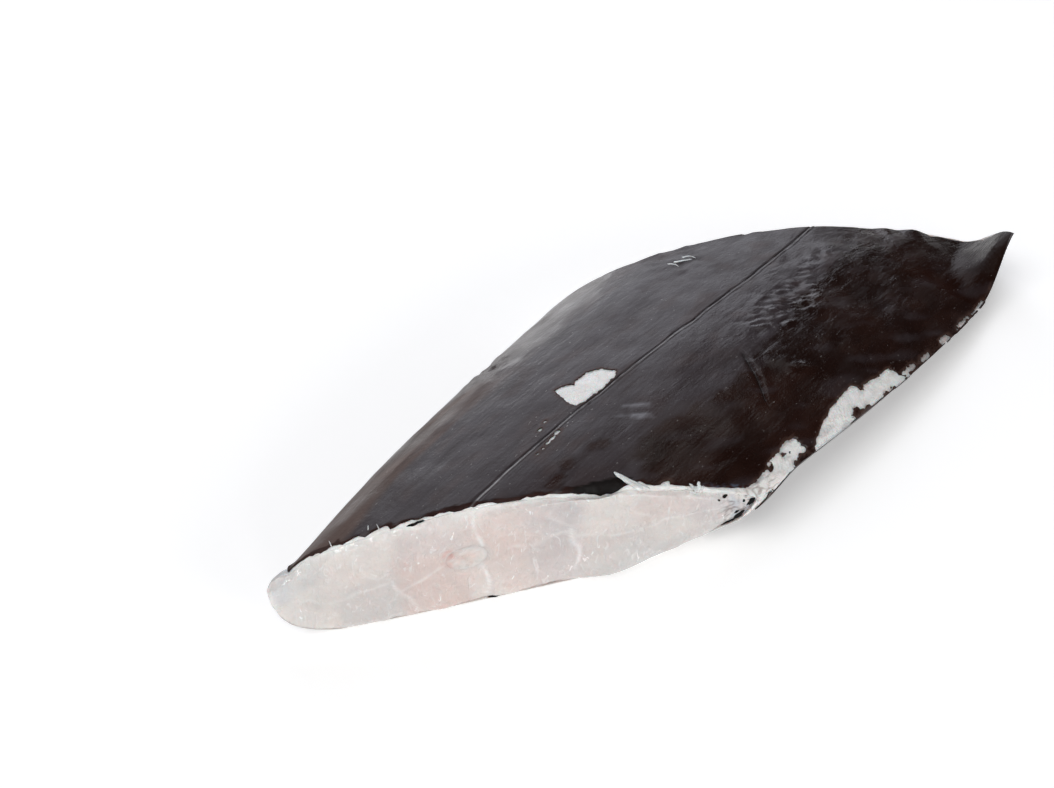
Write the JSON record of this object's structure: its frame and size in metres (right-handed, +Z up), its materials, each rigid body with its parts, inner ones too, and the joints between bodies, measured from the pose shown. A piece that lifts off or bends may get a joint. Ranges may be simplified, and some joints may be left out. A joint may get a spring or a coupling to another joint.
{
  "type": "black scabbardfish steak",
  "caption": "Raw black scabbardfish steak cut on the slant: black skinned flanks with a lateral line groove, pale flesh at the cuts, backbone running through; lies flat on its flank.",
  "frame": {"origin": "centre of the steak's footprint, on the surface it lies on", "axes": "+X along the fish's body from the near cut to the far cut, +Y towards the back of the fish, +Z up out of the upper flank"},
  "size_m": [0.2639, 0.0926, 0.035],
  "materials": {
    "flesh": "wet raw fish flesh, pale pinkish white at the cuts, under thin glossy black skin",
    "backbone": "translucent pinkish cartilage-like bone, flush with the cuts"
  },
  "bodies": {
    "root": {"flesh": "flesh", "backbone": "backbone"}
  },
  "joints": []
}
